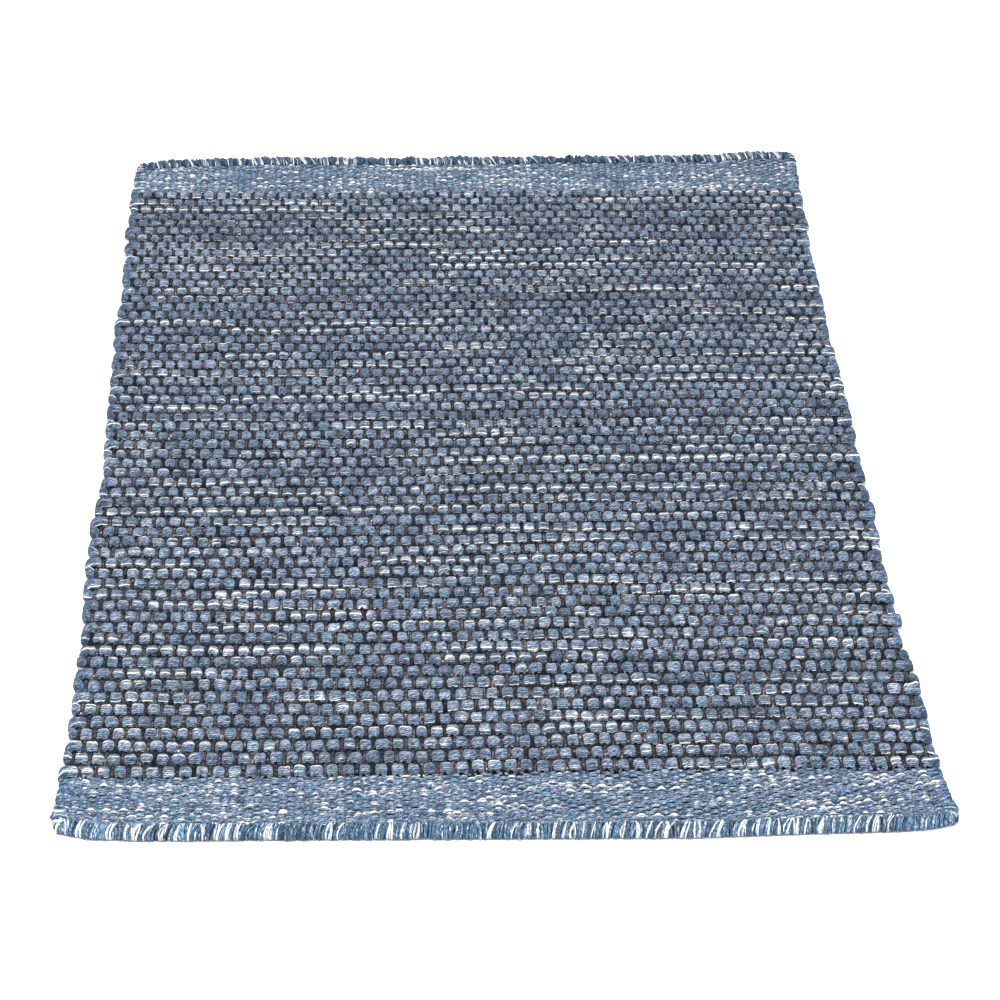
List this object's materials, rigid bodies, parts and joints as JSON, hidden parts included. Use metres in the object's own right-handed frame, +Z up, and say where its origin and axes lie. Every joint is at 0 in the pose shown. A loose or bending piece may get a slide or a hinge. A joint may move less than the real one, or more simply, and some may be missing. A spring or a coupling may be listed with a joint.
{
  "type": "kilim",
  "caption": "small rectangular flat-woven kilim rug with thick weft ribs, fine end bands, looped selvedges and overcast yarn bindings, lying flat",
  "frame": {"origin": "on the floor, under the middle of the kilim's bounding box", "axes": "+X across the width, +Y along the length from the front end to the back end, +Z up"},
  "size_m": [0.6242, 0.9118, 0.009],
  "materials": {
    "cloth_wool": "matte wool",
    "binding_wool": "matte wool"
  },
  "bodies": {
    "root": {"woven_cloth": "cloth_wool", "front_binding": "binding_wool", "back_binding": "binding_wool"}
  },
  "joints": []
}
